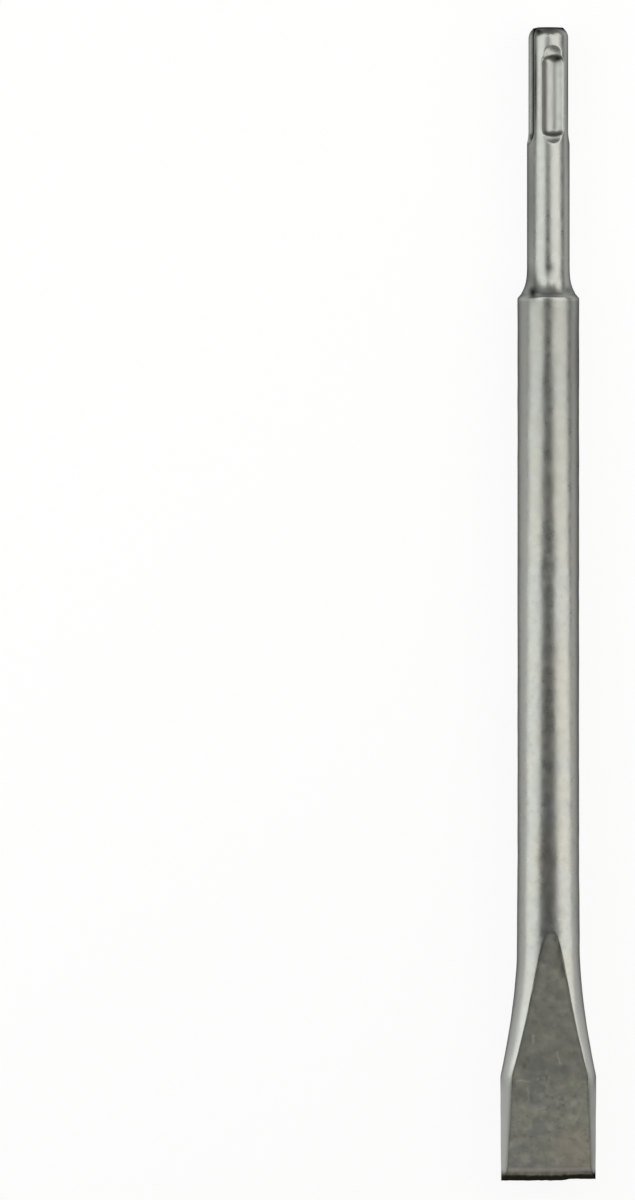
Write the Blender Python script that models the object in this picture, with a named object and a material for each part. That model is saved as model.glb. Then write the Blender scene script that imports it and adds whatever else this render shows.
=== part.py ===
"""Flat chisel for a hammer drill: one steel forging, made from a round bar.

It lies on its bar, as it would on a bench. Y runs along the tool, with the shank's
end at +Y and the cutting edge at -Y. Z is up, X is across the blade, and z = 0 is the
surface that the bar rests on. The origin is under the middle of the tool.

All sizes below are in millimetres, and angles are in degrees.
"""

import math

import bmesh
import bpy

MM = 0.001

# The tool as a whole
OVERALL_LENGTH = 270.0
BAR_DIAMETER = 14.5
DIE_FLAT_WIDTH = 2.4

# Shank, from its end to the shoulder where the bar begins
SHANK_DIAMETER = 10.0
SHANK_LENGTH = 63.6
END_CHAMFER_WIDTH = 1.5
END_CHAMFER_LENGTH = 2.0
END_ROUNDING = 1.2
NECK_LENGTH = 7.6
SHOULDER_CHAMFER_WIDTH = 0.85
SHOULDER_CHAMFER_LENGTH = 0.9

# Two open slots that turn the tool, opposite each other, with leaning walls
DRIVE_SLOT_WIDTH = 4.6
DRIVE_SLOT_DEPTH = 2.1
DRIVE_SLOT_LENGTH = 27.3
DRIVE_SLOT_DRAFT = 20.0
DRIVE_SLOT_FLOOR_FILLET = 0.5

# Two closed slots for the locking balls, a quarter turn from the open ones
BALL_SLOT_RADIUS = 3.0
BALL_SLOT_DEPTH = 2.2
BALL_SLOT_START = 6.8
BALL_SLOT_LENGTH = 19.3
BALL_SLOT_END_LENGTH = 3.0
BALL_SLOT_END_POWER = 0.65
SLOT_TURN = 9.0

# A shallow dish leads out of each end of a closed slot
DISH_RADIUS = 6.5
DISH_DEPTH = 1.0
DISH_END_LENGTH = 4.4
DISH_LENGTH = 6.0
OUTER_DISH_LEAD = 2.0
INNER_DISH_LEAD = 1.4

# Blade: its width, and the stretches along it, measured from the cutting edge
BLADE_WIDTH = 22.6
EDGE_NARROWING = 0.15
PARALLEL_LENGTH = 24.6
FLARE_LENGTH = 30.0
FLARE_POWER = 1.7
SWELL = 0.15
SWELL_LENGTH = 22.0
FLAT_LENGTH = 58.0
FLAT_END_THICKNESS = 4.5

# Sides of the blade: round where the bar flares, leaning facets beside the parallel stretch
SIDE_LEAN = 0.55
SIDE_CROWN = 0.35
SIDE_BLEND_LENGTH = 9.0
EDGE_BREAK = 0.5
EDGE_BREAK_STARTS_AT = 12.0
EDGE_BREAK_FULL_AT = 34.0

# Grinding at the cutting edge: a first slope, then a steeper one down to a thin land
GRIND_LENGTH = 3.5
GRIND_SECOND_LENGTH = 1.8
GRIND_SECOND_THICKNESS = 3.7
EDGE_LAND = 0.3

# Fineness of the mesh
SIDE_STEPS = 16
NECK_STEPS = 7
ROUNDING_STEPS = 5
SWELL_STEPS = 4
FLARE_STEPS = 16
PARALLEL_STEPS = 4
RING_CROWDING = 1.5
CLOSEST_RINGS = 0.1
CUTTER_STEPS = 40
CUTTER_END_STEPS = 8
DRIVE_SLOT_END_STEPS = 10
FILLET_STEPS = 2
SHARP_ANGLE = 25.0
CUT_OVERSHOOT = 1.5
ROUND_POWER = 0.5

BAR_RADIUS = BAR_DIAMETER / 2
SHANK_RADIUS = SHANK_DIAMETER / 2
RING_POINTS = 4 * SIDE_STEPS + 2
HALF_FACET = math.pi / RING_POINTS
DIE_FLAT_ANGLE = math.asin(min(1.0, DIE_FLAT_WIDTH / BAR_DIAMETER))
AXIS_HEIGHT = BAR_RADIUS * math.cos(DIE_FLAT_ANGLE)
SHANK_END = OVERALL_LENGTH / 2
FLARE_START = PARALLEL_LENGTH + FLARE_LENGTH
FLAT_SLOPE = (BAR_RADIUS - FLAT_END_THICKNESS / 2) / FLAT_LENGTH

STEEL_COLOUR = (0.55, 0.55, 0.52, 1.0)
STEEL_ROUGHNESS = 0.36


def clear_scene():
    for found in list(bpy.data.objects):
        bpy.data.objects.remove(found, do_unlink=True)


def smooth_share(value):
    """0 below 0, 1 above 1, and an even curve between them."""
    share = min(max(value, 0.0), 1.0)
    return share * share * (3 - 2 * share)


def quadratic(start, control, end, share):
    """Point on the curve that leaves start and meets end along the lines to control."""
    a, b, c = (1 - share) ** 2, 2 * share * (1 - share), share**2
    return tuple(a * s + b * k + c * e for s, k, e in zip(start, control, end))


def forged_half_thickness(from_edge):
    """Height of the forged face over the mid-plane: a plane that leans down to the edge."""
    return FLAT_END_THICKNESS / 2 + FLAT_SLOPE * from_edge


def half_thickness(from_edge):
    """Height of the steel over the mid-plane, with the two ground slopes at the edge."""
    if from_edge >= GRIND_LENGTH:
        return forged_half_thickness(from_edge)
    middle = GRIND_SECOND_THICKNESS / 2
    if from_edge <= GRIND_SECOND_LENGTH:
        land = EDGE_LAND / 2
        return land + (middle - land) * from_edge / GRIND_SECOND_LENGTH
    share = (from_edge - GRIND_SECOND_LENGTH) / (GRIND_LENGTH - GRIND_SECOND_LENGTH)
    return middle + (forged_half_thickness(GRIND_LENGTH) - middle) * share


def half_width(from_edge):
    """Half the width of the steel: the bar, a slight swell, then the flare to the blade."""
    corner = BLADE_WIDTH / 2
    if from_edge <= PARALLEL_LENGTH:
        return corner - EDGE_NARROWING * (1 - from_edge / PARALLEL_LENGTH)
    swell_share = (FLARE_START + SWELL_LENGTH - from_edge) / SWELL_LENGTH
    bar = BAR_RADIUS + SWELL * smooth_share(swell_share)
    flare_share = max(0.0, (FLARE_START - from_edge) / FLARE_LENGTH)
    return bar + (corner - bar) * flare_share**FLARE_POWER


def side_at(height, from_edge):
    """Distance of the blade's side from its centre plane, at a height over the mid-plane."""
    widest = half_width(from_edge)
    round_side = widest * math.sqrt(max(0.0, 1 - (height / BAR_RADIUS) ** 2))
    forged = forged_half_thickness(from_edge)
    share = height / forged
    crowned = (1 - SIDE_CROWN) * share + SIDE_CROWN * share**2
    facet_side = widest - SIDE_LEAN * forged * crowned
    blend_start = PARALLEL_LENGTH + SIDE_BLEND_LENGTH / 2
    blend = smooth_share((blend_start - from_edge) / SIDE_BLEND_LENGTH)
    return round_side + (facet_side - round_side) * blend


def blade_ring(from_edge):
    """Outline of the blade, or of the bar behind it, as (x, z) points.

    The outline is two flats, joined by sides of SIDE_STEPS steps above and below the
    mid-plane. Behind the blade's faces, the flats are the narrow ones that the forging
    dies leave along the round bar, above and below.
    """
    flat_angle = math.acos(min(1.0, half_thickness(from_edge) / BAR_RADIUS))
    start = max(DIE_FLAT_ANGLE, flat_angle)
    upper = []
    for step in range(SIDE_STEPS + 1):
        height = BAR_RADIUS * math.cos(start + (math.pi / 2 - start) * step / SIDE_STEPS)
        upper.append((side_at(height, from_edge), height))
    right = upper + [(x, -z) for x, z in reversed(upper[:-1])]
    left = [(-x, z) for x, z in reversed(right)]
    return right + left


def round_ring(radius):
    """Outline of a round section, with the same points as blade_ring."""
    angles = [(2 * step + 1) * HALF_FACET for step in range(RING_POINTS)]
    return [(radius * math.sin(a), radius * math.cos(a)) for a in angles]


def shank_profile():
    """Pairs of (distance from the shank's end, radius), up to the shoulder."""
    start = (0.0, SHANK_RADIUS - END_CHAMFER_WIDTH)
    corner = (END_CHAMFER_LENGTH, SHANK_RADIUS)
    rounded = min(1.0, END_ROUNDING / math.dist(start, corner))
    leave = tuple(c + (s - c) * rounded for s, c in zip(start, corner))
    meet = (END_CHAMFER_LENGTH + END_ROUNDING, SHANK_RADIUS)
    points = [start]
    for step in range(ROUNDING_STEPS + 1):
        points.append(quadratic(leave, corner, meet, step / ROUNDING_STEPS))
    neck_start = SHANK_LENGTH - NECK_LENGTH
    neck_rise = BAR_RADIUS - SHOULDER_CHAMFER_WIDTH - SHANK_RADIUS
    for step in range(NECK_STEPS + 1):
        share = step / NECK_STEPS
        points.append((neck_start + NECK_LENGTH * share, SHANK_RADIUS + neck_rise * share**2))
    return points


def blade_stations():
    """Distances from the cutting edge where the bar and blade have a ring, edge last.

    The rings crowd towards the point of the faces, where the outline changes fastest.
    """
    round_end = max(FLARE_START, FLAT_LENGTH)
    point = FLAT_LENGTH - (BAR_RADIUS - AXIS_HEIGHT) / FLAT_SLOPE
    bar_start = OVERALL_LENGTH - SHANK_LENGTH - SHOULDER_CHAMFER_LENGTH
    wanted = [0.0, GRIND_SECOND_LENGTH, GRIND_LENGTH, FLARE_START, bar_start]
    for step in range(SWELL_STEPS + 1):
        wanted.append(round_end + SWELL_LENGTH * step / SWELL_STEPS)
    for step in range(FLARE_STEPS + 1):
        crowded = (step / FLARE_STEPS) ** RING_CROWDING
        wanted.append(point + (PARALLEL_LENGTH - point) * crowded)
    for step in range(1, PARALLEL_STEPS):
        share = step / PARALLEL_STEPS
        wanted.append(PARALLEL_LENGTH + (GRIND_LENGTH - PARALLEL_LENGTH) * share)
    stations = []
    for station in sorted(wanted):
        if not stations or station - stations[-1] > CLOSEST_RINGS:
            stations.append(station)
    return stations[::-1]


def break_weight(edge):
    """How much of the full rounding an edge gets: none where the faces nearly agree."""
    bend = math.degrees(edge.calc_face_angle())
    span = EDGE_BREAK_FULL_AT - EDGE_BREAK_STARTS_AT
    return smooth_share((bend - EDGE_BREAK_STARTS_AT) / span)


def forging():
    """Mesh of the whole tool without its slots, lofted through its rings."""
    rings = [(SHANK_END - along, round_ring(radius)) for along, radius in shank_profile()]
    first_blade_ring = len(rings)
    stations = blade_stations()
    rings += [(station - SHANK_END, blade_ring(station)) for station in stations]
    mesh = bmesh.new()
    loops = [
        [mesh.verts.new((x * MM, y * MM, z * MM)) for x, z in outline]
        for y, outline in rings
    ]
    for near, far in zip(loops, loops[1:]):
        for index in range(RING_POINTS):
            after = (index + 1) % RING_POINTS
            mesh.faces.new((near[index], near[after], far[after], far[index]))
    mesh.faces.new(reversed(loops[0]))
    mesh.faces.new(loops[-1])
    bmesh.ops.recalc_face_normals(mesh, faces=mesh.faces)
    weight = mesh.edges.layers.float.new("bevel_weight_edge")
    flat_corners = (0, 2 * SIDE_STEPS, 2 * SIDE_STEPS + 1, RING_POINTS - 1)
    unground = [station for station in stations if station > GRIND_LENGTH]
    for number in range(first_blade_ring, first_blade_ring + len(unground)):
        for index in flat_corners:
            edge = mesh.edges.get((loops[number][index], loops[number + 1][index]))
            edge[weight] = break_weight(edge)
    return mesh


def object_from(mesh, name):
    data = bpy.data.meshes.new(name)
    mesh.to_mesh(data)
    mesh.free()
    return bpy.data.objects.new(name, data)


def make_cutter(mesh, name, turn):
    """A cutter, turned about the tool's axis from straight up."""
    bmesh.ops.recalc_face_normals(mesh, faces=mesh.faces)
    cutter = object_from(mesh, name)
    cutter.hide_render = True
    cutter.display_type = "WIRE"
    cutter.rotation_euler.y = math.radians(turn)
    return cutter


def drive_slot_outline(half):
    """Plan of a slot with a round end, open past the shank's end, as (x, y) points."""
    round_centre = SHANK_END - DRIVE_SLOT_LENGTH + DRIVE_SLOT_WIDTH / 2
    open_end = SHANK_END + CUT_OVERSHOOT
    outline = [(half, open_end), (-half, open_end)]
    for step in range(DRIVE_SLOT_END_STEPS + 1):
        angle = math.pi * (1 + step / DRIVE_SLOT_END_STEPS)
        outline.append((half * math.cos(angle), round_centre + half * math.sin(angle)))
    return outline


def drive_slot_cutter(name, turn):
    """A slot with a flat floor, filleted into walls that lean outwards."""
    draft = math.tan(math.radians(DRIVE_SLOT_DRAFT))
    floor_half = DRIVE_SLOT_WIDTH / 2 - DRIVE_SLOT_DEPTH * draft
    top_half = DRIVE_SLOT_WIDTH / 2 + CUT_OVERSHOOT * draft
    floor = SHANK_RADIUS - DRIVE_SLOT_DEPTH
    top = SHANK_RADIUS + CUT_OVERSHOOT
    mesh = bmesh.new()
    loops = [
        [mesh.verts.new((x * MM, y * MM, z * MM)) for x, y in drive_slot_outline(half)]
        for half, z in ((floor_half, floor), (top_half, top))
    ]
    floor_face = mesh.faces.new(loops[0])
    mesh.faces.new(reversed(loops[1]))
    for index, corner in enumerate(loops[0]):
        before = index - 1
        mesh.faces.new((loops[0][before], corner, loops[1][index], loops[1][before]))
    bmesh.ops.bevel(
        mesh,
        geom=list(floor_face.edges),
        offset=min(DRIVE_SLOT_FLOOR_FILLET, floor_half / 2) * MM,
        segments=FILLET_STEPS,
        profile=0.5,
        affect="EDGES",
    )
    return make_cutter(mesh, name, turn)


def turned_cutter(name, outline, lift, turn):
    """A cutter turned about a line along Y, held at a distance from the tool's axis.

    The outline holds (y, radius) pairs, and its first and last radius is 0.
    """
    mesh = bmesh.new()
    angles = [2 * math.pi * step / CUTTER_STEPS for step in range(CUTTER_STEPS)]
    rows = [[mesh.verts.new((0, outline[0][0] * MM, lift * MM))]]
    for y, radius in outline[1:-1]:
        around = [(radius * math.sin(a), y, lift + radius * math.cos(a)) for a in angles]
        rows.append([mesh.verts.new((x * MM, y * MM, z * MM)) for x, y, z in around])
    rows.append([mesh.verts.new((0, outline[-1][0] * MM, lift * MM))])
    for near, far in zip(rows, rows[1:]):
        for index in range(CUTTER_STEPS):
            after = (index + 1) % CUTTER_STEPS
            corners = [near[index % len(near)], near[after % len(near)]]
            corners += [far[after % len(far)], far[index % len(far)]]
            mesh.faces.new(list(dict.fromkeys(corners)))
    return make_cutter(mesh, name, turn)


def tapered_outline(top, foot, radius, depth, end_length, power):
    """Outline of a bar that tapers at both ends, so that its cut runs from top to foot.

    The cut ends where the bar's radius has shrunk by the cut's depth. At ROUND_POWER the
    taper is a quarter of an ellipse, and above it the ends are bluntly pointed.
    """
    left = max(0.0, 1 - depth / radius)
    reach = end_length * math.sqrt(1 - left ** (1 / power))
    upper_centre, lower_centre = top - reach, foot + reach
    shares = [math.cos(math.pi / 2 * s / CUTTER_END_STEPS) for s in range(CUTTER_END_STEPS)]
    shares.append(0.0)
    radii = [radius * (1 - share**2) ** power for share in shares]
    upper = [(upper_centre + end_length * s, r) for s, r in zip(shares, radii)]
    lower = [(lower_centre - end_length * s, r) for s, r in zip(shares, radii)]
    return upper + lower[::-1]


def ball_slot_cutters(name, turn):
    """A round-bottomed slot, and the shallow dish that leads out of each of its ends."""
    top = SHANK_END - BALL_SLOT_START
    foot = top - BALL_SLOT_LENGTH
    lift = SHANK_RADIUS - BALL_SLOT_DEPTH + BALL_SLOT_RADIUS
    pocket = tapered_outline(
        top, foot, BALL_SLOT_RADIUS, BALL_SLOT_DEPTH, BALL_SLOT_END_LENGTH, BALL_SLOT_END_POWER
    )
    cutters = [turned_cutter(name, pocket, lift, turn)]
    dish_lift = SHANK_RADIUS - DISH_DEPTH + DISH_RADIUS
    for end, dish_top, dish_foot in (
        ("outer", top + OUTER_DISH_LEAD, top + OUTER_DISH_LEAD - DISH_LENGTH),
        ("inner", foot - INNER_DISH_LEAD + DISH_LENGTH, foot - INNER_DISH_LEAD),
    ):
        dish = tapered_outline(
            dish_top, dish_foot, DISH_RADIUS, DISH_DEPTH, DISH_END_LENGTH, ROUND_POWER
        )
        cutters.append(turned_cutter(f"{name}_{end}_dish", dish, dish_lift, turn))
    return cutters


def break_edges(chisel):
    """Rounds the long edges of the two forged faces, as the weights on them say."""
    bevel = chisel.modifiers.new("edge_break", "BEVEL")
    bevel.limit_method = "WEIGHT"
    bevel.width = EDGE_BREAK * MM
    bevel.segments = FILLET_STEPS


def cut_slots(chisel):
    """Takes all the slots out of the shank in one cut."""
    cutters = bpy.data.collections.new("slot_cutters")
    bpy.context.scene.collection.children.link(cutters)
    for number, side in enumerate((0, 180)):
        made = ball_slot_cutters(f"ball_slot_cutter_{number}", SLOT_TURN + side)
        made.append(drive_slot_cutter(f"drive_slot_cutter_{number}", SLOT_TURN + 90 + side))
        for cutter in made:
            cutter.parent = chisel
            cutters.objects.link(cutter)
    cut = chisel.modifiers.new("slots", "BOOLEAN")
    cut.operation = "DIFFERENCE"
    cut.operand_type = "COLLECTION"
    cut.collection = cutters


def steel():
    """Bare forged steel, blasted to an even satin grey."""
    material = bpy.data.materials.new("forged_steel")
    material.use_nodes = True
    shader = material.node_tree.nodes["Principled BSDF"]
    shader.inputs["Base Color"].default_value = STEEL_COLOUR
    shader.inputs["Roughness"].default_value = STEEL_ROUGHNESS
    shader.inputs["Metallic"].default_value = 1.0
    return material


def main():
    clear_scene()
    chisel = object_from(forging(), "flat_chisel")
    bpy.context.scene.collection.objects.link(chisel)
    chisel.location.z = AXIS_HEIGHT * MM
    chisel.data.materials.append(steel())
    chisel.data.shade_smooth()
    chisel.data.set_sharp_from_angle(angle=math.radians(SHARP_ANGLE))
    break_edges(chisel)
    cut_slots(chisel)


main()
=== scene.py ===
"""Looks of the flat chisel: one skin of forged steel, a pale floor, three soft lamps, a camera.

The skin is one grid, wrapped round the tool: its rows run from the shank's end to the
cutting edge, and its columns run round the section, clockwise from the top. Sizes are in
millimetres and angles in degrees, unless a name says otherwise. Blender gets metres.
"""

import math

import bpy
import numpy as np
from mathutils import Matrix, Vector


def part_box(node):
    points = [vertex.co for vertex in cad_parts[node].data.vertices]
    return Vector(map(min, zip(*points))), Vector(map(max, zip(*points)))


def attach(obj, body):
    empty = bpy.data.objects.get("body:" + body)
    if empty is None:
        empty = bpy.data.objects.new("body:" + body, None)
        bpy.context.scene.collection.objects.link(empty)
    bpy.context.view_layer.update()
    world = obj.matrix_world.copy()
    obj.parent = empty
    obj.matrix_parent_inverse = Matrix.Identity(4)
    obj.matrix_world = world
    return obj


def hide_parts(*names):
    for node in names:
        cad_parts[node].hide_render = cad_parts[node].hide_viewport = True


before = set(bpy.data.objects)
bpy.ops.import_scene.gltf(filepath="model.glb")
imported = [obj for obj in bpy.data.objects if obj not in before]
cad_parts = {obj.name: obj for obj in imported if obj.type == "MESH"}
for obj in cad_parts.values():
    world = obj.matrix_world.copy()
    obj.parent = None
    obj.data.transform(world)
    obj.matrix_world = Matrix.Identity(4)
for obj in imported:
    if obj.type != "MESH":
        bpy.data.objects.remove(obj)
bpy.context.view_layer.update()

MM = 0.001
NODE = "flat_chisel"
LOW, HIGH = (np.array(corner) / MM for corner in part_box(NODE))

# The tool as a whole: its box is read from the frame, and the bar's radius from the photo
LENGTH = HIGH[1] - LOW[1]
SHANK_END = HIGH[1]
AXIS_HEIGHT = (HIGH[2] - LOW[2]) / 2
BLADE_HALF_WIDTH = (HIGH[0] - LOW[0]) / 2
BAR_RADIUS = 7.25

# Shank
SHANK_RADIUS = 5.0
SHANK_LENGTH = 62.8
END_CHAMFER_WIDTH = 1.3
END_CHAMFER_LENGTH = 1.35
END_ROUNDING = 1.1
NECK_LENGTH = 8.0
NECK_POWER = 3.5
SHOULDER_CHAMFER_WIDTH = 0.45
SHOULDER_CHAMFER_LENGTH = 0.45
SHOULDER_ROUNDING = 0.2
ROUNDING_POINTS = 40

# Places along the shank: where the neck starts, and the shoulder with its closest rows, at
# the end of which the bar's section takes over
NECK_START = SHANK_LENGTH - NECK_LENGTH
SHOULDER_START = SHANK_LENGTH - 0.4
SHOULDER_END = SHANK_LENGTH + 1.4

# Open slots that turn the tool
DRIVE_SLOT_WIDTH = 5.5
DRIVE_SLOT_DEPTH = 2.1
DRIVE_SLOT_LENGTH = 27.3
DRIVE_SLOT_WALL_RUN = 0.6
LEAST_FLOOR_COSINE = 0.3

# Closed slots for the locking balls, with a dish leading out of each end
BALL_SLOT_RADIUS = 3.0
BALL_SLOT_DEPTH = 2.2
BALL_SLOT_START = 6.4
BALL_SLOT_LENGTH = 19.3
BALL_SLOT_END_LENGTH = 1.9
BALL_SLOT_END_POWER = 0.5
DISH_RADIUS = 5.5
DISH_DEPTH = 0.8
DISH_END_LENGTH = 3.2
DISH_LENGTH = 6.0
OUTER_DISH_LEAD = 2.0
INNER_DISH_LEAD = 1.4
ROUND_POWER = 0.5
SLOT_LIP_ROUNDING = 0.18
SLOT_TURN = 8.5

# Blade, measured from the cutting edge
EDGE_NARROWING = 0.15
PARALLEL_LENGTH = 24.6
FLARE_LENGTH = 30.0
FLARE_POWER = 1.7
SWELL = 0.15
SWELL_LENGTH = 22.0
FACE_LENGTH = 59.8
FACE_END_THICKNESS = 4.5
SIDE_LEAN = 0.55
SIDE_CROWN = -0.1
SIDE_BLEND_LENGTH = 8.0
SIDE_BLEND_MIDDLE = 23.5
FACE_EDGE_ROUNDING = 0.08
GRIND_LENGTH = 3.5
GRIND_SECOND_LENGTH = 1.8
GRIND_SECOND_THICKNESS = 4.1
EDGE_LAND = 0.3

# Wear: how far the steel lies below its drawn surface. Waves and nicks are a sum of plane
# waves, whose lengths lie between two shares of their size.
WAVES = 30
SHORTEST_WAVE = 0.7
LONGEST_WAVE = 1.7
WEAR_FADE_LENGTH = 6.0
FORGING_WAVE_SIZE = 5.5
FORGING_WAVE_DEPTH = 0.06
FORGING_WAVE_SEED = 3
HAMMER_MARK_SIZE = 4.0
HAMMER_MARK_DEPTH = 0.05
HAMMER_MARK_SEED = 4
WORN_EDGE_START = 3.0
WORN_EDGE_RUN = 2.2
WORN_EDGE_DEPTH = 0.33
EDGE_NICK_SIZE = 1.6
EDGE_NICK_DEPTH = 0.1
EDGE_NICK_SEED = 5

# Dirt and painted shade: how dark each place is, from 0 to 1. Painted shade lies in the open
# slots, at the shank's end and at the shoulder's foot. In an open slot it starts, is whole,
# thins out and ends at distances inside the outline, in lengths of the wall's run. Smudges on
# the upper side are (across, along, how wide, how long, darkness): real pits and marks, and
# painted shade on the rims, beside and in the closed slots and round the shoulder.
# painted shade down the open slots' walls and over their floors
DRIVE_WALL_SHADE = 1.0
DRIVE_WALL_SHADE_START = 0.25
DRIVE_WALL_SHADE_WHOLE = 0.75
DRIVE_FLOOR_SHADE = 0.45
DRIVE_FLOOR_SHADE_START = 1.0
DRIVE_FLOOR_SHADE_END = 3.0
# painted shade on the shank's end and its chamfer
END_SHADE = 1.0
END_SHADE_LENGTH = 0.85
# painted shade in the shoulder's inner corner
SHOULDER_SHADE = 0.22
SHOULDER_SHADE_LENGTH = 0.8
SMUDGES_AND_SHADE = (
    # painted shade: the left corner of the shank's end, beside and inside the closed slot, along
    # the left and right rims, and round the shoulder
    (-2.7, 0.9, 1.0, 0.9, 1.0),
    (-3.35, 14.0, 0.4, 14.0, 0.85),
    (-1.0, 17.0, 0.35, 11.0, 0.3),
    (4.4, 14.0, 0.5, 14.0, 0.6),
    (1.9, 7.4, 1.0, 0.9, 0.85),
    (-4.1, 40.0, 1.1, 18.0, 0.4),
    (-4.3, 58.6, 1.3, 4.0, 0.45),
    (-4.1, 62.1, 1.0, 1.8, 1.0),
    (4.3, 61.6, 1.0, 0.9, 0.55),
    # real dark pits on the neck and the bar
    (0.0, 56.3, 1.0, 1.1, 0.55),
    (0.1, 71.2, 0.6, 0.6, 0.4),
    # painted shade along the right rim
    (6.4, 78.0, 0.9, 12.0, 0.25),
    (6.7, 130.0, 0.9, 70.0, 0.22),
    # real marks on the upper face
    (1.0, 213.0, 0.5, 1.2, 0.4),
    (1.8, 216.2, 0.5, 2.0, 0.4),
    (2.6, 220.0, 0.5, 2.2, 0.35),
    (-5.1, 241.4, 0.6, 0.9, 0.35),
    (-6.0, 242.9, 0.5, 0.9, 0.4),
    (-2.3, 245.6, 0.6, 0.5, 0.45),
    (-0.9, 245.9, 0.5, 0.6, 0.45),
    (0.5, 247.0, 0.7, 0.5, 0.3),
    (-8.5, 247.3, 0.5, 0.9, 0.35),
    (-6.8, 248.7, 1.2, 1.0, 0.22),
    (-8.0, 250.8, 0.6, 1.0, 0.25),
    (-4.0, 249.4, 0.5, 1.8, 0.25),
)

# Pale scars on the upper face. Each is part of a circle round a place, and shows near another
# place: (across, along, radius, near across, near along, reach).
SCAR_WIDTH = 0.5
SCAR_WOBBLE = 1.0
SCAR_SHARE = 0.45
SCARS = (
    (-5.9, 250.3, 4.5, -5.9, 245.8, 2.4),
    (-6.5, 248.1, 2.3, -8.7, 247.9, 2.0),
    (-1.3, 246.8, 1.9, -1.5, 244.9, 1.6),
    (-44.6, 249.0, 40.0, -4.6, 249.0, 2.4),
    (-43.2, 249.4, 40.0, -3.2, 249.4, 2.0),
    (10.0, 238.0, 8.0, 2.5, 240.5, 2.2),
    (-9.5, 236.0, 6.0, -3.5, 236.0, 1.8),
)

# Grid: columns in a quarter of the section, and rows as (from, to, spacing) stretches. The
# rows are closest at both ends of the closed slots, at the shoulder and at the cutting edge.
FACE_COLUMNS = 24
SIDE_COLUMNS = 40
QUARTER = FACE_COLUMNS + SIDE_COLUMNS
COLUMNS = 4 * QUARTER
NARROWEST_FACE_ANGLE = 12.0
FACE_COLUMN_CROWDING = 0.7
CROWDING_RISE = 2.0
ROW_STRETCHES = (
    (0.0, 3.6, 0.2),
    (3.6, 8.6, 0.16),
    (8.6, 23.2, 0.6),
    (23.2, 28.0, 0.14),
    (28.0, NECK_START, 1.2),
    (NECK_START, SHOULDER_START, 0.4),
    (SHOULDER_START, SHOULDER_END, 0.1),
    (SHOULDER_END, 205.0, 1.6),
    (205.0, 266.0, 0.75),
    (266.0, LENGTH, 0.16),
)
END_FACE_RINGS = (0.3, 0.6, 0.85, 0.97)
SMOOTHING_PASSES = 2

# Masks: the depths over which a face, its border or a closed slot fades in
FACE_MASK_SHARPNESS = 12.0
FACE_BORDER_DEPTH = 0.6
RIDGE_BORDER_DEPTH = 0.15
SIDE_BORDER_DEPTH = 1.5
POCKET_MASK_DEPTH = 0.3

# The small values keep a division from meeting 0, and the far one lies beyond any surface
SMALL = 0.001
SMALLEST = 1e-9
FAR = 99.0

# Photo: where the camera looks, and how much it sees
PHOTO_WIDTH_PX = 635
PHOTO_HEIGHT_PX = 1200
PIXELS_PER_MM = 4.27
AXIS_X_PX = 548.3
MIDDLE_Y_PX = 604.4
CAMERA_LEAN = 5.5
CAMERA_LENS = 320.0
CAMERA_SENSOR = 36.0

# Colours of the steel, its scale and its dirt
STEEL_COOL = (0.324, 0.332, 0.318, 1)
STEEL_WARM = (0.337, 0.332, 0.306, 1)
STEEL_TURNED = (0.34, 0.348, 0.33, 1)
STEEL_DARK = (0.21, 0.215, 0.2, 1)
STEEL_SIDE = (0.38, 0.385, 0.37, 1)
STEEL_GROUND = (0.67, 0.63, 0.56, 1)
SCALE_GREY = (0.4, 0.4, 0.368, 1)
SCALE_OLIVE = (0.515, 0.525, 0.43, 1)
SCALE_BROWN = (0.515, 0.475, 0.395, 1)
SCALE_DARK = (0.22, 0.22, 0.195, 1)
# painted shade along the border of a face
BORDER_SHADE_COLOUR = (0.13, 0.135, 0.105, 1)
SCAR_COLOUR = (0.65, 0.66, 0.6, 1)
# dirt, and painted shade in the slots, at the shank's end, round the shoulder and on the rims
DIRT_AND_SHADE_COLOUR = (0.022, 0.023, 0.018, 1)
# painted shade: the dark band along the cutting edge's bevel
EDGE_SHADE_COLOUR = (0.03, 0.028, 0.02, 1)
GRAZING_TINT = (0.22, 0.22, 0.22, 1)

# Where the colours change along the tool, measured from the cutting edge, and how much
BAR_DARKENING_START = 2 * FACE_LENGTH
BAR_DARKENING = 0.44
TURNED_RIM = LENGTH - SHANK_LENGTH - SHOULDER_CHAMFER_LENGTH
TURNED_START = TURNED_RIM - 1.1
TURNED_WHOLE = TURNED_RIM - 0.5
FACE_FOOT = 17.0
FACE_HEAD = 29.0
FACE_HEAD_DARKENING = 0.45
# the painted shade line along a face's border: gone at the face's head, whole lower down, and how
# dark
BORDER_LINE_END = FACE_LENGTH - 1
BORDER_LINE_WHOLE = FACE_LENGTH - 6
BORDER_LINE_SHARE = 0.85
GROUND_START = GRIND_LENGTH + 0.3
GROUND_WHOLE = GRIND_LENGTH - 0.7
# the painted shade along the cutting edge: whole up to the shorter length, gone past the longer,
# with a ragged top
EDGE_SHADE_LENGTH = 2.4
EDGE_SHADE_WHOLE_LENGTH = 0.5
EDGE_SHADE_RAGGEDNESS = 0.9

# Where they change on the faces: olive across the tool, and brown round (across, along)
OLIVE_SIDE_REACH = 9.0
OLIVE_SIDE_SHARE = 0.16
BROWN_PLACE = (7.0, 263.0)
BROWN_REACH = 11.0

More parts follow.
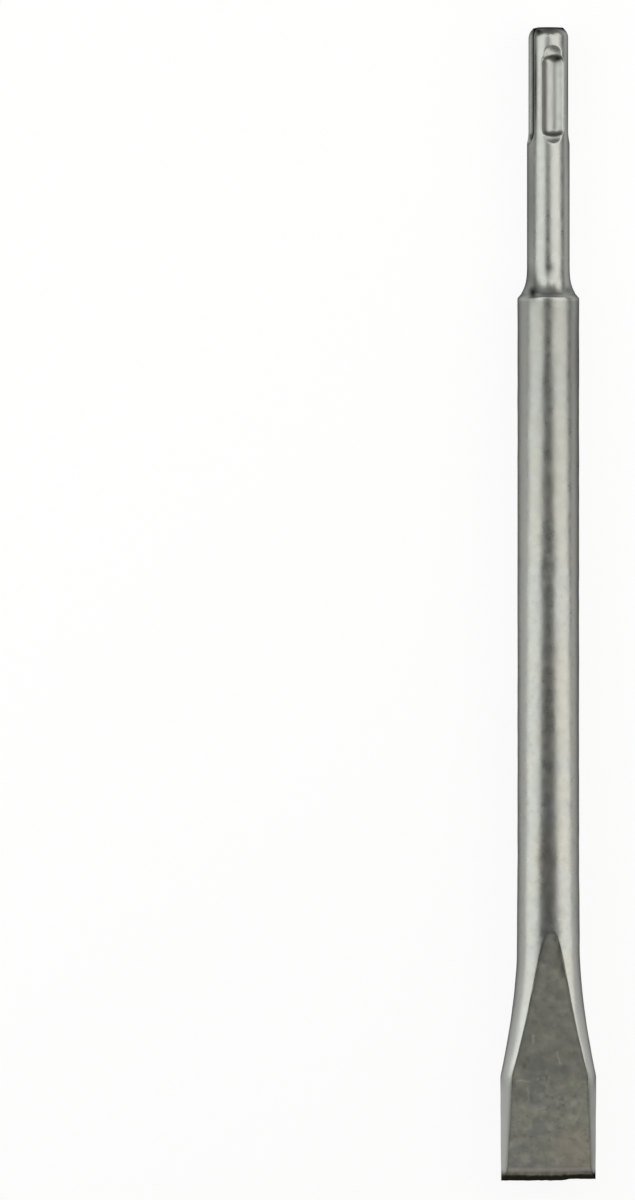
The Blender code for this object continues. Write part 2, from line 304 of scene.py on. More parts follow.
# Patterns: noise of a size, detail and roughness, which rises from a start to an end where
# its value goes from low to high. Half the stretch along the tool makes stains twice as long.
CLOUDS = {"size": 9.0, "detail": 3.0, "low": 0.35, "high": 0.65}
SPECKS = {"size": 1.4, "detail": 3.0, "low": 0.5, "high": 0.75, "end": 0.3}
SCALE_LUMPS = {"size": 3.2, "detail": 4.0, "rough": 0.6, "low": 0.38, "high": 0.66}
STAINS = {"size": 7.0, "detail": 2.0, "low": 0.55, "high": 0.75, "end": 0.25}
STAIN_STRETCH = (1, 0.5, 1)
PITS = {"size": 1.5, "detail": 5.0, "rough": 0.7, "low": 0.53, "high": 0.68, "end": 0.5}
UNEVEN_GLOSS = {"size": 2.2, "detail": 3.0, "low": 0.3, "high": 0.7, "start": -0.04, "end": 0.04}
# ragged top of the painted shade along the cutting edge
RAGGED_EDGE_SHADE = {"size": 1.2, "detail": 3.0}
LUMPS = {"size": 3.0, "detail": 2.0, "rough": 0.4}
GRAIN = {"size": 0.45, "detail": 2.0, "rough": 0.6}

# Gloss, and the depth of the bumps
BAR_ROUGHNESS = 0.31
POCKET_ROUGHNESS = 0.1
FACE_ROUGHNESS = 0.46
GRAIN_DEPTH = 0.0025
LUMP_DEPTH = 0.035
FACE_LUMP_DEPTH = 0.12

# Studio, in metres. The surround fades from side to top between two heights of a direction,
# where straight up is 1.
FLOOR_SIZE = 12.0
FLOOR_COLOUR = (0.9, 0.9, 0.9, 1)
FLOOR_WHITENESS = 0.9
WORLD_TOP = (0.17, 0.17, 0.17, 1)
WORLD_SIDE = (0.27, 0.27, 0.27, 1)
WORLD_FADE_START = 0.3
WORLD_FADE_END = 0.9
LAMP_DISTANCE = 0.35
LAMP_RADIANCE = 1.8
RIGHT_LAMP = {
    "turn": 50.0,
    "slant": 47.0,
    "middle": -0.018,
    "width": 0.27,
    "length": 1.15,
    "colour": (1.0, 0.985, 0.93),
}
LEFT_LAMP = {
    "turn": -58.0,
    "slant": -40.0,
    "middle": 0.01,
    "width": 0.29,
    "length": 1.05,
    "colour": (0.975, 1.0, 0.96),
}
END_LAMP = {
    "turn": 50.0,
    "slant": 0.0,
    "middle": 0.3,
    "width": 0.2,
    "length": 0.28,
    "colour": (1.0, 0.985, 0.93),
}


def smooth_step(value):
    """0 below 0, 1 above 1, and 3v^2 - 2v^3 between them."""
    share = np.clip(value, 0.0, 1.0)
    return share * share * (3 - 2 * share)


def soft_min(one, other, rounding):
    """The smaller of two. Where they differ by less than the rounding, a parabola joins them."""
    share = np.clip(0.5 + 0.5 * (other - one) / rounding, 0.0, 1.0)
    return other + (one - other) * share - rounding * share * (1 - share)


def relief(points, size, seed):
    """Even noise between about -1 and 1: a sum of plane waves that run in random directions.

    Each wave is the sine of the point's place along its direction, over a wave length near
    size, plus a random phase. The sum of n waves is divided by sqrt(2n), so it seldom passes 1.
    """
    draw = np.random.default_rng(seed)
    directions = draw.normal(size=(WAVES, 3))
    directions /= np.linalg.norm(directions, axis=1, keepdims=True)
    lengths = size * draw.uniform(SHORTEST_WAVE, LONGEST_WAVE, WAVES)
    phases = draw.uniform(0, 2 * math.pi, WAVES)
    turns = points @ (2 * math.pi * directions / lengths[:, None]).T
    return np.sin(turns + phases).sum(axis=-1) / math.sqrt(2 * WAVES)


def rows_along():
    """Distance of every row from the shank's end, as a column: even steps in each stretch."""
    stretches = []
    for start, end, step in ROW_STRETCHES:
        count = round((end - start) / step)
        stretches.append(np.linspace(start, end, count, endpoint=False))
    return np.append(np.concatenate(stretches), LENGTH)[:, None]


def shank_radius(along):
    """Radius of the turned shank: chamfer, barrel, neck and the shoulder's chamfer.

    The chamfer is a straight cone that meets the barrel along a quadratic curve, the neck
    rises with a power of the distance, and the shoulder is a cone with a round rim.
    """
    cut_share = END_ROUNDING / math.hypot(END_CHAMFER_LENGTH, END_CHAMFER_WIDTH)
    share = np.linspace(0, 1, ROUNDING_POINTS)
    curve_along = END_CHAMFER_LENGTH - END_CHAMFER_LENGTH * cut_share * (1 - share) ** 2
    curve_along += END_ROUNDING * share**2
    curve_radius = SHANK_RADIUS - END_CHAMFER_WIDTH * cut_share * (1 - share) ** 2
    start_radius = SHANK_RADIUS - END_CHAMFER_WIDTH
    barrel = np.interp(along, np.append(0.0, curve_along), np.append(start_radius, curve_radius))
    neck_rise = BAR_RADIUS - SHOULDER_CHAMFER_WIDTH - SHANK_RADIUS
    neck_share = np.clip((along - SHANK_LENGTH) / NECK_LENGTH + 1, 0, 1)
    chamfer_share = np.maximum((along - SHANK_LENGTH) / SHOULDER_CHAMFER_LENGTH, 0)
    rising = barrel + neck_rise * neck_share**NECK_POWER + SHOULDER_CHAMFER_WIDTH * chamfer_share
    return soft_min(rising, BAR_RADIUS, SHOULDER_ROUNDING)


def turned_cut(along, turn, start, length, radius, depth, end_length, power):
    """Distance from the axis to a cut made by a round bar with tapered ends.

    The bar's radius shrinks at its ends as (1 - share^2)^power. On a ray at an angle from
    the slot's middle, the cut begins at lift cos(a) - sqrt(r^2 - (lift sin(a))^2).
    """
    lift = SHANK_RADIUS - depth + radius
    reach = end_length * math.sqrt(1 - (1 - depth / radius) ** (1 / power))
    past = np.maximum(start + reach - along, along - (start + length - reach))
    share = np.clip(past / end_length, 0, 1)
    tapered = radius * (1 - share**2) ** power
    inside = tapered**2 - (lift * np.sin(turn)) ** 2
    near_side = lift * np.cos(turn) - np.sqrt(np.maximum(inside, 0))
    return np.where((inside > 0) & (np.cos(turn) > 0), near_side, FAR)


def turn_from(around, middle):
    """Angle of each column from a direction, between minus and plus half a turn."""
    return (around - math.radians(middle) + math.pi) % (2 * math.pi) - math.pi


def ball_slot(along, around, middle):
    """Distance from the axis to one closed slot: a deep pocket and the dish at each end."""
    turn = turn_from(around, middle)
    dish_shape = (DISH_LENGTH, DISH_RADIUS, DISH_DEPTH, DISH_END_LENGTH, ROUND_POWER)
    outer_start = BALL_SLOT_START - OUTER_DISH_LEAD
    inner_start = BALL_SLOT_START + BALL_SLOT_LENGTH + INNER_DISH_LEAD - DISH_LENGTH
    outer = turned_cut(along, turn, outer_start, *dish_shape)
    inner = turned_cut(along, turn, inner_start, *dish_shape)
    pocket = turned_cut(
        along, turn, BALL_SLOT_START, BALL_SLOT_LENGTH,
        BALL_SLOT_RADIUS, BALL_SLOT_DEPTH, BALL_SLOT_END_LENGTH, BALL_SLOT_END_POWER,
    )
    return soft_min(np.minimum(outer, inner), pocket, SLOT_LIP_ROUNDING)


def inside_drive_slot(along, turn):
    """Distance inside an open slot's outline, in lengths of its walls' run.

    The outline has two straight sides and a round end, laid on the shank's surface. Along
    the wall the distance goes from 0 to 1, on the floor it is more, and outside it is less.
    """
    half = SHANK_RADIUS * math.asin(DRIVE_SLOT_WIDTH / 2 / SHANK_RADIUS)
    past_centre = np.maximum(along - (DRIVE_SLOT_LENGTH - half), 0)
    return (half - np.hypot(SHANK_RADIUS * turn, past_centre)) / DRIVE_SLOT_WALL_RUN


def drive_slot(along, around, middle, surface):
    """Distance from the axis to one open slot, and the surface itself outside it.

    The floor is a plane, so on a ray at an angle from the slot's middle it lies at its
    height divided by the cosine.
    """
    turn = turn_from(around, middle)
    floor = (SHANK_RADIUS - DRIVE_SLOT_DEPTH) / np.maximum(np.cos(turn), LEAST_FLOOR_COSINE)
    deeper = np.minimum(surface, floor) - surface
    return surface + smooth_step(inside_drive_slot(along, turn)) * deeper


def softened(field):
    """A field on the grid, averaged 1 to 2 to 1 with its neighbours, round and along."""
    for _ in range(SMOOTHING_PASSES):
        field = (np.roll(field, 1, 1) + 2 * field + np.roll(field, -1, 1)) / 4
        inner = (field[:-2] + 2 * field[1:-1] + field[2:]) / 4
        field = np.concatenate([field[:1], inner, field[-1:]])
    return field


def slotted_radius(along, around):
    """Distance from the axis to the shank's surface, with its four slots cut in."""
    surface = shank_radius(along) + 0 * around
    for side in (0, 180):
        pocket = ball_slot(along, around, SLOT_TURN + side)
        surface = soft_min(pocket, surface, SLOT_LIP_ROUNDING)
        surface = drive_slot(along, around, SLOT_TURN + side + 90, surface)
    return surface


def forged_half_thickness(from_edge):
    """Height of the blade's face over the mid-plane: a plane that leans to the edge."""
    edge = FACE_END_THICKNESS / 2
    return edge + (BAR_RADIUS - edge) * from_edge / FACE_LENGTH


def half_thickness(from_edge):
    """Height of the steel: the leaning face, or straight lines down the ground slopes."""
    corners = (0.0, GRIND_SECOND_LENGTH, GRIND_LENGTH)
    heights = (EDGE_LAND / 2, GRIND_SECOND_THICKNESS / 2, forged_half_thickness(GRIND_LENGTH))
    ground = np.interp(from_edge, corners, heights)
    forged = np.minimum(forged_half_thickness(from_edge), AXIS_HEIGHT)
    return np.where(from_edge < GRIND_LENGTH, ground, forged)


def half_width(from_edge):
    """Half the width: the bar with a slight swell, then a power curve out to the blade."""
    flare_start = PARALLEL_LENGTH + FLARE_LENGTH
    swell = SWELL * smooth_step((flare_start + SWELL_LENGTH - from_edge) / SWELL_LENGTH)
    bar = BAR_RADIUS + swell
    share = np.clip((flare_start - from_edge) / FLARE_LENGTH, 0, 1)
    flared = bar + (BLADE_HALF_WIDTH - bar) * share**FLARE_POWER
    narrowing = EDGE_NARROWING * (1 - from_edge / PARALLEL_LENGTH)
    return np.where(from_edge < PARALLEL_LENGTH, BLADE_HALF_WIDTH - narrowing, flared)


def side_at(height, from_edge):
    """Distance of the side from the centre plane, at a height over the mid-plane.

    Where the bar flares it is an ellipse, the width times sqrt(1 - h^2). Beside the face it
    is a facet that leans in with the height, plus a crown that goes with the height's square.
    """
    widest = half_width(from_edge)
    round_side = widest * np.sqrt(np.maximum(0, 1 - (height / AXIS_HEIGHT) ** 2))
    forged = forged_half_thickness(from_edge)
    share = height / forged
    crowned = (1 - SIDE_CROWN) * share + SIDE_CROWN * share**2
    facet = widest - SIDE_LEAN * forged * crowned
    blend_start = SIDE_BLEND_MIDDLE + SIDE_BLEND_LENGTH / 2
    facet_share = smooth_step((blend_start - from_edge) / SIDE_BLEND_LENGTH)
    return round_side + (facet - round_side) * facet_share


def column_angles(from_edge, face_angle):
    """Angle from the top of each column in a quarter of the section.

    FACE_COLUMNS of them share the face, from its middle to its edge, where a sine brings
    them closer together, and the rest share the side down to the mid-plane.
    """
    even = math.pi / 2 * FACE_COLUMNS / QUARTER
    narrowest = math.radians(NARROWEST_FACE_ANGLE)
    past_face = (from_edge - FACE_LENGTH) / SWELL_LENGTH
    spread = narrowest + (even - narrowest) * smooth_step(past_face)
    edge_angle = np.maximum(face_angle, spread)
    column = np.arange(QUARTER + 1)
    share = column / FACE_COLUMNS
    crowding = FACE_COLUMN_CROWDING * smooth_step(-CROWDING_RISE * past_face)
    face_part = edge_angle * (share - crowding * np.sin(2 * math.pi * share) / (2 * math.pi))
    side_part = edge_angle + (math.pi / 2 - edge_angle) * (column - FACE_COLUMNS) / SIDE_COLUMNS
    return np.where(column < FACE_COLUMNS, face_part, side_part)


def face_masks(cut_depth, from_edge):
    """1 on the faces and 0 elsewhere, and how near the border of a face each point lies.

    Both come from how far the bar's height there would lie over the face, or below it.
    """
    flat = smooth_step(FACE_MASK_SHARPNESS * cut_depth)
    parallel = smooth_step((PARALLEL_LENGTH - from_edge) / SIDE_BLEND_LENGTH + 0.5)
    side_depth = RIDGE_BORDER_DEPTH + (SIDE_BORDER_DEPTH - RIDGE_BORDER_DEPTH) * parallel
    past_border = np.maximum(cut_depth / FACE_BORDER_DEPTH, -cut_depth / side_depth)
    return flat, np.maximum(0, 1 - past_border) ** 2


def quarter_section(from_edge):
    """A quarter of the section: across, up, and the masks of the face and its border.

    A column's angle from the top gives its height on the bar, which is an ellipse a little
    lower than wide, and the face then cuts that off.
    """
    face_height = half_thickness(from_edge)
    face_angle = np.maximum(np.arccos(face_height / AXIS_HEIGHT), SMALL)
    angle = column_angles(from_edge, face_angle)
    round_height = AXIS_HEIGHT * np.cos(angle)
    level = np.minimum(round_height, face_height)
    across_face = np.minimum(1, np.sin(angle) / np.sin(face_angle))
    cut_off = np.minimum(AXIS_HEIGHT - face_height, face_height) / 2
    rounding = np.clip(cut_off, SMALL, FACE_EDGE_ROUNDING)
    up = soft_min(round_height, face_height, rounding)
    flat, border = face_masks(round_height - face_height, from_edge)
    return side_at(level, from_edge) * across_face, up, flat, border


def slot_painted_shade(inside):
    """Painted shade in an open slot: it darkens down the wall, and thins out over the floor."""
    darkening = DRIVE_WALL_SHADE_WHOLE - DRIVE_WALL_SHADE_START
    past_lip = smooth_step((inside - DRIVE_WALL_SHADE_START) / darkening)
    thinning = DRIVE_FLOOR_SHADE_END - DRIVE_FLOOR_SHADE_START
    near_wall = smooth_step((DRIVE_FLOOR_SHADE_END - inside) / thinning)
    return past_lip * (DRIVE_FLOOR_SHADE + (DRIVE_WALL_SHADE - DRIVE_FLOOR_SHADE) * near_wall)


def dirt_and_shade_mask(points, along, around):
    """How dark each point is: painted shade at the shank's end, in the open slots and at the
    shoulder's foot, and smudges, some real marks and the rest painted shade.

    A smudge fades as exp(-distance^2) from its middle, measured in its own width and length.
    """
    dirt_and_shade = SHOULDER_SHADE * np.exp(-(((along - SHANK_LENGTH) / SHOULDER_SHADE_LENGTH) ** 2))
    dirt_and_shade = dirt_and_shade * (along < SHANK_LENGTH) + 0 * around
    dirt_and_shade = np.maximum(dirt_and_shade, END_SHADE * np.exp(-((along / END_SHADE_LENGTH) ** 2)))
    for side in (90, 270):
        turn = turn_from(around, SLOT_TURN + side)
        dirt_and_shade = np.maximum(dirt_and_shade, slot_painted_shade(inside_drive_slot(along, turn)))
    for across, place, wide, long, darkness in SMUDGES_AND_SHADE:
        far = np.hypot((points[..., 0] - across) / wide, (along - place) / long)
        on_top = points[..., 2] > AXIS_HEIGHT
        dirt_and_shade = np.maximum(dirt_and_shade, darkness * np.exp(-(far**2)) * on_top)
    return dirt_and_shade


def pocket_mask(along, around):
    """1 inside the closed slots, from a little way under the shank's surface."""
    depth = 0 * around
    for side in (0, 180):
        cut = ball_slot(along, around, SLOT_TURN + side)
        depth = np.maximum(depth, shank_radius(along) - cut)
    return smooth_step(depth / POCKET_MASK_DEPTH)


def all_round(quarter, left_sign, below_sign):
    """Every column round the section, from those of its quarter between top and +X.

    The signs are what the values are multiplied by at the left, and below the mid-plane.
    """
    there = quarter[:, :-1]
    back = quarter[:, :0:-1]
    parts = (there, back * below_sign, there * left_sign * below_sign, back * left_sign)
    return np.concatenate(parts, axis=1)


def drawn_surface(along, around):
    """The grid as drawn, before wear: the places, and the masks of the faces and borders.

    Up to the shoulder it is the shank's radius on each ray from the axis, a little flattened
    like the bar, and from there the quarter section, mirrored to the left and below.
    """
    across, up, flat, border = quarter_section(LENGTH - along)
    radius = softened(slotted_radius(along, around))
    shank_up = radius * np.cos(around) * AXIS_HEIGHT / BAR_RADIUS
    on_shank = along < SHOULDER_END
    x = np.where(on_shank, radius * np.sin(around), all_round(across, -1, 1))
    z = np.where(on_shank, shank_up, all_round(up, 1, -1))
    y = SHANK_END - along + 0 * around
    flat = np.where(on_shank, 0, all_round(flat, 1, 1))
    border = np.where(on_shank, 0, all_round(border, 1, 1))
    return np.stack([x, y, z + AXIS_HEIGHT], axis=-1), flat, border


def outward(points):
    """Unit normals of a grid that closes round its columns, from its neighbours' places."""
    down = np.gradient(points, axis=0)
    round_it = np.roll(points, -1, axis=1) - np.roll(points, 1, axis=1)
    normals = np.cross(down, round_it)
    return normals / np.maximum(np.linalg.norm(normals, axis=-1, keepdims=True), SMALLEST)


def worn_edge(points, from_edge):
    """How far the cutting edge stands back: a step at one side, and shallow nicks.

    The nicks differ across the tool only. Step and nicks are whole at the edge and fade to
    nothing where the grinding starts.
    """
    x = points[..., 0]
    step = WORN_EDGE_DEPTH * smooth_step((x - WORN_EDGE_START) / WORN_EDGE_RUN)
    nick_places = points * np.array([1.0, 0.0, 0.0])
    nicks = EDGE_NICK_DEPTH * (1 + relief(nick_places, EDGE_NICK_SIZE, EDGE_NICK_SEED)) / 2
    fade = np.clip(1 - from_edge / GRIND_LENGTH, 0, 1)
    return (step + np.maximum(nicks, 0)) * fade


def worn_surface(points, flat, along):
    """The grid after forging and use: low waves on the bar, shallow marks on the faces."""
    forged = smooth_step((along - SHOULDER_END) / WEAR_FADE_LENGTH)
    waves = (1 + relief(points, FORGING_WAVE_SIZE, FORGING_WAVE_SEED)) / 2
    marks = (1 + relief(points, HAMMER_MARK_SIZE, HAMMER_MARK_SEED)) / 2
    depth = FORGING_WAVE_DEPTH * waves + HAMMER_MARK_DEPTH * marks * flat
    worn = points - outward(points) * (np.maximum(depth, 0) * forged)[..., None]
    worn[..., 1] += worn_edge(points, LENGTH - along)
    return worn


def grid_faces(rows):
    """Corners of every face: the wrapped grid, the fan at the pole and the cutting land.

    Rows follow each other from the pole, and each quad joins two rows and two columns. At
    the cutting edge a strip joins each column of the upper half to the one below it, with a
    triangle at both ends.
    """
    column = np.arange(COLUMNS)
    after = (column + 1) % COLUMNS
    fan = np.stack([np.full(COLUMNS, rows * COLUMNS), column, after], axis=-1)
    start = np.arange(rows - 1)[:, None] * COLUMNS
    corners = [start + column, start + COLUMNS + column, start + COLUMNS + after, start + after]
    quads = np.stack(corners, axis=-1).reshape(-1, 4)
    top = np.arange(-QUARTER, QUARTER)
    below = 2 * QUARTER - top
    strip = np.stack([top, below, below - 1, top + 1], axis=-1) % COLUMNS
    strip += (rows - 1) * COLUMNS
    left, right = strip[0, [0, 2, 3]], strip[-1, [0, 1, 2]]
    return [*fan.tolist(), *quads.tolist(), *strip[1:-1].tolist(), left.tolist(), right.tolist()]


def add_attribute(mesh, name, values):
    """Store one number for each point of the mesh, for the material to read."""
    attribute = mesh.attributes.new(name, "FLOAT", "POINT")
    attribute.data.foreach_set("value", np.append(values.ravel(), values[0, 0]))


def chisel_skin():
    """The whole tool as one closed surface, with its masks for the material.

    The end face is the first row's outline, shrunk in rings towards its centre.
    """
    along = rows_along()
    around = 2 * math.pi * np.arange(COLUMNS)[None, :] / COLUMNS
    points, flat, border = drawn_surface(along, around)
    points = worn_surface(points, flat, along)
    centre = points[0].mean(axis=0)
    rings = centre + (points[0] - centre) * np.array(END_FACE_RINGS)[:, None, None]
    grid = np.concatenate([rings, points])
    places = np.append(grid.reshape(-1, 3), centre[None, :], axis=0) * MM
    mesh = bpy.data.meshes.new("chisel_skin")
    mesh.from_pydata(places.tolist(), [], grid_faces(len(grid)))
    mesh.polygons.foreach_set("use_smooth", np.ones(len(mesh.polygons), dtype=bool))
    ring_rows = ((len(END_FACE_RINGS), 0), (0, 0))
    masks = {
        "forged_face": flat,
        "face_border": border,
        # dirt, and painted shade in the slots, at the shank's end, round the shoulder and on the
        # rims
        "dirt_and_shade": dirt_and_shade_mask(points, along, around),
        "pocket": pocket_mask(along, around),
    }
    for name, values in masks.items():
        add_attribute(mesh, name, np.pad(values, ring_rows))
    distance = np.pad(LENGTH - along + 0 * around, ring_rows, constant_values=LENGTH)
    add_attribute(mesh, "from_edge", distance)
    skin = bpy.data.objects.new("chisel_skin", mesh)
    bpy.context.collection.objects.link(skin)
    return skin


def add_node(tree, kind, inputs=None, **settings):
    """A new shader node. An input is a number or colour to set, or a socket to link."""
    node = tree.nodes.new(kind)
    for name, value in settings.items():
        setattr(node, name, value)
    for name, value in (inputs or {}).items():
        if isinstance(value, bpy.types.NodeSocket):
            tree.links.new(value, node.inputs[name])
        else:
            node.inputs[name].default_value = value
    return node


def millimetres(tree, stretch=(1, 1, 1)):
    """Places on the tool in millimetres, from its object coordinates, and stretched."""
    places = add_node(tree, "ShaderNodeTexCoord").outputs["Object"]
    scale = tuple(value / MM for value in stretch)
    return add_node(tree, "ShaderNodeMapping", {"Vector": places, "Scale": scale}).outputs["Vector"]


def noise(tree, places, size, detail, rough=0.5):
    """Even cloudy noise from 0 to 1, with its lumps about a size apart."""
    settings = {"Vector": places, "Scale": 1 / size, "Detail": detail, "Roughness": rough}
    return add_node(tree, "ShaderNodeTexNoise", settings).outputs["Fac"]


def ramp(tree, value, low, high, start=0.0, end=1.0):
    """A smooth rise from start, where the value is low, to end, where it is high."""
    inputs = {"Value": value, "From Min": low, "From Max": high, "To Min": start, "To Max": end}
    node = add_node(tree, "ShaderNodeMapRange", inputs, interpolation_type="SMOOTHSTEP")
    return node.outputs["Result"]


def pattern(tree, places, size, detail, low, high, rough=0.5, start=0.0, end=1.0):
    """Cloudy noise that rises from start to end between two of its values."""
    return ramp(tree, noise(tree, places, size, detail, rough), low, high, start, end)


def combine(tree, operation, one, other):
    """Two numbers joined by one operation."""
    node = add_node(tree, "ShaderNodeMath", {0: one, 1: other}, operation=operation)
    return node.outputs["Value"]


def blend(tree, share, first, second):
    """From the first colour to the second, by a share. The node's sockets go by their places."""
    factor, first_colour, second_colour, result = 0, 6, 7, 2
    inputs = {factor: share, first_colour: first, second_colour: second}
    return add_node(tree, "ShaderNodeMix", inputs, data_type="RGBA").outputs[result]


def mask(tree, name):
    """A number that the skin's mesh keeps for each point."""
    return add_node(tree, "ShaderNodeAttribute", attribute_name=name).outputs["Fac"]


def bar_colour(tree, places, from_edge):
    """Blasted steel in grey clouds with darker specks.

    It darkens towards the shoulder, and is paler on the turned shank and beside the faces.
    """
    colour = blend(tree, pattern(tree, places, **CLOUDS), STEEL_COOL, STEEL_WARM)
    upper = ramp(tree, from_edge, BAR_DARKENING_START, LENGTH - SHANK_LENGTH, 0.0, BAR_DARKENING)
    darker = combine(tree, "MAXIMUM", pattern(tree, places, **SPECKS), upper)
    colour = blend(tree, darker, colour, STEEL_DARK)
    turned = ramp(tree, from_edge, TURNED_START, TURNED_WHOLE)
    colour = blend(tree, turned, colour, STEEL_TURNED)
    side = ramp(tree, from_edge, FACE_LENGTH, PARALLEL_LENGTH)
    return blend(tree, side, colour, STEEL_SIDE)


def on_face(across, along):
    """The place in millimetres of a point on the upper face."""
    height = float(half_thickness(LENGTH - along))
    return (across, SHANK_END - along, AXIS_HEIGHT + height)


def nearness(tree, places, centre, near, far):
    """1 within a distance of a place, and 0 beyond another distance."""
    inputs = {0: places, 1: centre}
    node = add_node(tree, "ShaderNodeVectorMath", inputs, operation="DISTANCE")
    return ramp(tree, node.outputs["Value"], far, near)


def scar_mask(tree, places):
    """Thin curved scars: a ring is what lies within one distance but not within a shorter one.

    Noise shifts the places first, so that the scars run unevenly.
    """
    wobble = add_node(tree, "ShaderNodeTexNoise", {"Vector": places, "Scale": 1 / SCAR_WOBBLE})
    inputs = {0: wobble.outputs["Color"], 1: (SCAR_WOBBLE,) * 3, 2: places}
    places = add_node(tree, "ShaderNodeVectorMath", inputs, operation="MULTIPLY_ADD").outputs[0]
    marks = 0.0
    for across, along, radius, near_across, near_along, reach in SCARS:
        centre = on_face(across, along)
        outside = nearness(tree, places, centre, radius, radius + SCAR_WIDTH)
        inside = nearness(tree, places, centre, radius - SCAR_WIDTH, radius)
        ring = combine(tree, "SUBTRACT", outside, inside)
        close = nearness(tree, places, on_face(near_across, near_along), reach / 2, reach)
        marks = combine(tree, "MAXIMUM", marks, combine(tree, "MULTIPLY", ring, close))
    return marks


def olive_share(tree, places):
    """How olive the scale is: in lumps, and more on the tool's +X side."""
    across = add_node(tree, "ShaderNodeSeparateXYZ", {"Vector": places}).outputs["X"]
    reach, share = OLIVE_SIDE_REACH, OLIVE_SIDE_SHARE
    olive_side = ramp(tree, across, -reach, reach, -share, share)
    return combine(tree, "ADD", pattern(tree, places, **SCALE_LUMPS), olive_side)


def face_colour(tree, places, from_edge):
    """Forging scale: grey towards the bar, olive lower down, brown stains, scars and pits."""
    colour = blend(tree, olive_share(tree, places), SCALE_GREY, SCALE_OLIVE)
    stains = pattern(tree, millimetres(tree, STAIN_STRETCH), **STAINS)
    brown = nearness(tree, places, on_face(*BROWN_PLACE), 0.0, BROWN_REACH)
    colour = blend(tree, combine(tree, "MAXIMUM", stains, brown), colour, SCALE_BROWN)
    head = ramp(tree, from_edge, FACE_FOOT, FACE_HEAD, 0.0, FACE_HEAD_DARKENING)
    darker = combine(tree, "MAXIMUM", head, pattern(tree, places, **PITS))
    colour = blend(tree, darker, colour, SCALE_DARK)
    scars = combine(tree, "MULTIPLY", scar_mask(tree, places), SCAR_SHARE)
    colour = blend(tree, scars, colour, SCAR_COLOUR)
    ground = ramp(tree, from_edge, GROUND_START, GROUND_WHOLE)
    return blend(tree, ground, colour, STEEL_GROUND)


def steel_bumps(tree, places, face):
    """Fine blasted grain everywhere, and low lumps that are stronger on the faces."""
    lump_depth = ramp(tree, face, 0.0, 1.0, LUMP_DEPTH, FACE_LUMP_DEPTH)
    lumps = combine(tree, "MULTIPLY", noise(tree, places, **LUMPS), lump_depth)
    grain = combine(tree, "MULTIPLY", noise(tree, places, **GRAIN), GRAIN_DEPTH)
    height = combine(tree, "ADD", lumps, grain)
    inputs = {"Height": height, "Distance": MM, "Strength": 1.0}
    return add_node(tree, "ShaderNodeBump", inputs).outputs["Normal"]


def steel_colour(tree, places, face, from_edge):
    """Bar and faces, a painted shade line along a face's border, dirt and painted shade, and
    painted shade along the cutting edge.
    """
    bar = bar_colour(tree, places, from_edge)
    colour = blend(tree, face, bar, face_colour(tree, places, from_edge))
    # painted shade line along a face's border
    line = ramp(tree, from_edge, BORDER_LINE_END, BORDER_LINE_WHOLE, 0.0, BORDER_LINE_SHARE)
    line = combine(tree, "MULTIPLY", line, mask(tree, "face_border"))
    colour = blend(tree, line, colour, BORDER_SHADE_COLOUR)
    # dirt, and painted shade in the slots, at the shank's end, round the shoulder and on the rims
    colour = blend(tree, mask(tree, "dirt_and_shade"), colour, DIRT_AND_SHADE_COLOUR)
    # painted shade along the cutting edge, with a ragged top
    ragged = combine(tree, "MULTIPLY", noise(tree, places, **RAGGED_EDGE_SHADE), EDGE_SHADE_RAGGEDNESS)
    ragged = combine(tree, "SUBTRACT", from_edge, ragged)
    edge_shade = ramp(tree, ragged, EDGE_SHADE_LENGTH, EDGE_SHADE_WHOLE_LENGTH)
    return blend(tree, edge_shade, colour, EDGE_SHADE_COLOUR)


def steel_roughness(tree, places, face):
    """Satin on the bar, duller on the faces and in the closed slots, and a little uneven."""
    rough = ramp(tree, face, 0.0, 1.0, BAR_ROUGHNESS, FACE_ROUGHNESS)
    pocket = combine(tree, "MULTIPLY", mask(tree, "pocket"), POCKET_ROUGHNESS)
    rough = combine(tree, "ADD", rough, pocket)
    return combine(tree, "ADD", rough, pattern(tree, places, **UNEVEN_GLOSS))


def steel_material():
    """Forged steel: blasted bar, darker mottled faces, painted shade in the slots and along the
    cutting edge.
    """
    material = bpy.data.materials.new("forged_steel")
    material.use_nodes = True
    tree = material.node_tree
    places = millimetres(tree)
    face = mask(tree, "forged_face")
    colour = steel_colour(tree, places, face, mask(tree, "from_edge"))
    shader = tree.nodes["Principled BSDF"]
    shader.inputs["Metallic"].default_value = 1.0
    shader.inputs["Specular Tint"].default_value = GRAZING_TINT
    tree.links.new(colour, shader.inputs["Base Color"])
    tree.links.new(steel_roughness(tree, places, face), shader.inputs["Roughness"])
    tree.links.new(steel_bumps(tree, places, face), shader.inputs["Normal"])
    return material


def floor_material():
    """Pale and matt, and nearly white to the camera, to mirrors and through glass."""
    material = bpy.data.materials.new("pale_floor")
    material.use_nodes = True
    tree = material.node_tree
    shader = tree.nodes["Principled BSDF"]
    shader.inputs["Base Color"].default_value = FLOOR_COLOUR
    shader.inputs["Roughness"].default_value = 1.0
    shader.inputs["Specular IOR Level"].default_value = 0.0
    path = add_node(tree, "ShaderNodeLightPath").outputs
    mirrored = combine(tree, "MAXIMUM", path["Is Glossy Ray"], path["Is Transmission Ray"])
    seen = combine(tree, "MAXIMUM", path["Is Camera Ray"], mirrored)
    white = add_node(tree, "ShaderNodeEmission").outputs["Emission"]
    share = combine(tree, "MULTIPLY", seen, FLOOR_WHITENESS)
    inputs = {0: share, 1: shader.outputs["BSDF"], 2: white}
    mixed = add_node(tree, "ShaderNodeMixShader", inputs).outputs["Shader"]
    tree.links.new(mixed, tree.nodes["Material Output"].inputs["Surface"])
    return material


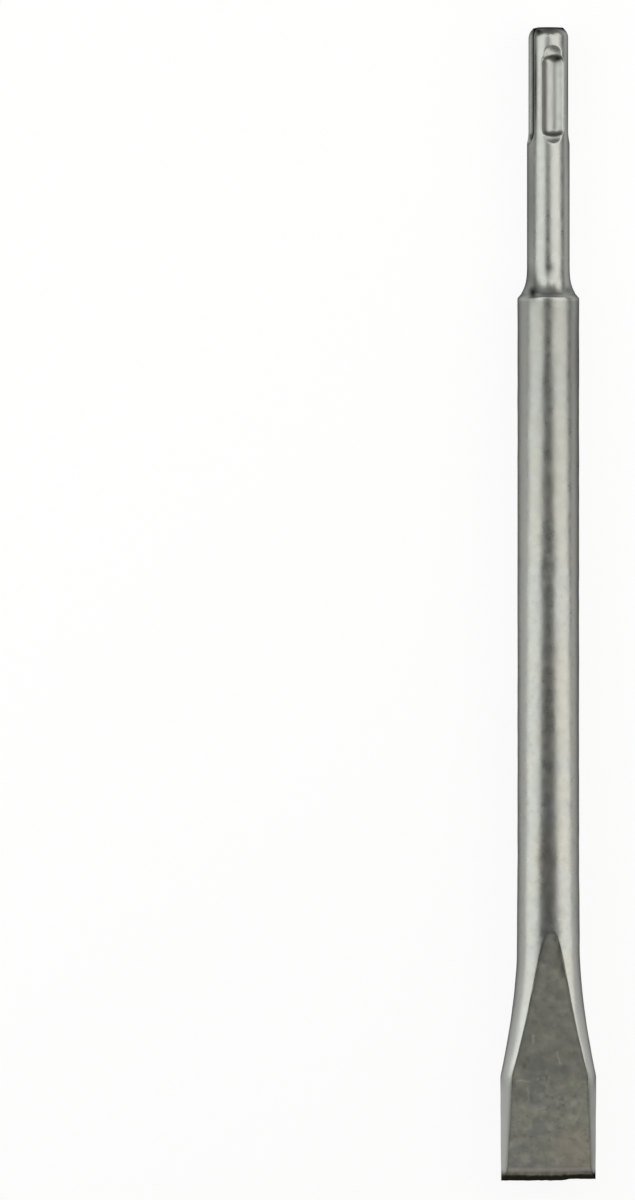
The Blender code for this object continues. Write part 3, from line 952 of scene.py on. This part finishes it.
def add_floor():
    """A wide pale floor at the tool's foot."""
    half = FLOOR_SIZE / 2
    corners = [(-half, -half, 0), (half, -half, 0), (half, half, 0), (-half, half, 0)]
    mesh = bpy.data.meshes.new("floor")
    mesh.from_pydata(corners, [], [(0, 1, 2, 3)])
    mesh.materials.append(floor_material())
    floor = bpy.data.objects.new("floor", mesh)
    bpy.context.collection.objects.link(floor)


def add_lamp(name, turn, slant, middle, width, length, colour):
    """A soft lamp beside the camera.

    Two long ones stand in a V that opens to the blade, and a short one lights the neck. It
    turns by slant about its own middle, and by turn about the tool's axis. Its power gives
    the chosen radiance: power = radiance x pi x area.
    """
    light = bpy.data.lights.new(name, "AREA")
    light.shape = "RECTANGLE"
    light.size = width
    light.size_y = length
    light.energy = LAMP_RADIANCE * math.pi * width * length
    light.color = colour
    lamp = bpy.data.objects.new(name, light)
    angle = math.radians(turn)
    height = AXIS_HEIGHT * MM + LAMP_DISTANCE * math.cos(angle)
    lamp.location = (LAMP_DISTANCE * math.sin(angle), middle, height)
    lamp.rotation_mode = "ZYX"
    lamp.rotation_euler = (0, angle, math.radians(slant))
    lamp.visible_camera = False
    bpy.context.collection.objects.link(lamp)


def add_world():
    """A grey surround, lighter towards the floor than overhead."""
    world = bpy.data.worlds.new("surround")
    world.use_nodes = True
    tree = world.node_tree
    direction = add_node(tree, "ShaderNodeTexCoord").outputs["Generated"]
    upward = add_node(tree, "ShaderNodeSeparateXYZ", {"Vector": direction}).outputs["Z"]
    share = ramp(tree, upward, WORLD_FADE_START, WORLD_FADE_END)
    colour = blend(tree, share, WORLD_SIDE, WORLD_TOP)
    tree.links.new(colour, tree.nodes["Background"].inputs["Color"])
    bpy.context.scene.world = world


def add_camera():
    """A far camera with a long lens. The tool lies right of the middle of what it sees."""
    data = bpy.data.cameras.new("camera")
    data.lens = CAMERA_LENS
    data.sensor_width = CAMERA_SENSOR
    camera = bpy.data.objects.new("camera", data)
    view_height = PHOTO_HEIGHT_PX / PIXELS_PER_MM * MM
    distance = view_height * CAMERA_LENS / CAMERA_SENSOR
    aside = (AXIS_X_PX - PHOTO_WIDTH_PX / 2) / PIXELS_PER_MM * MM
    ahead = (MIDDLE_Y_PX - PHOTO_HEIGHT_PX / 2) / PIXELS_PER_MM * MM
    lean = math.radians(CAMERA_LEAN)
    slant = math.hypot(distance, aside)
    height = AXIS_HEIGHT * MM + slant * math.cos(lean)
    camera.location = (-slant * math.sin(lean), ahead, height)
    camera.rotation_euler = (0, math.atan2(aside, distance) - lean, 0)
    bpy.context.collection.objects.link(camera)
    bpy.context.scene.camera = camera


skin = chisel_skin()
skin.data.materials.append(steel_material())
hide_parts(NODE)
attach(skin, "root")
add_floor()
add_lamp("right_lamp", **RIGHT_LAMP)
add_lamp("left_lamp", **LEFT_LAMP)
add_lamp("end_lamp", **END_LAMP)
add_world()
add_camera()
bpy.context.scene.view_settings.view_transform = "Standard"
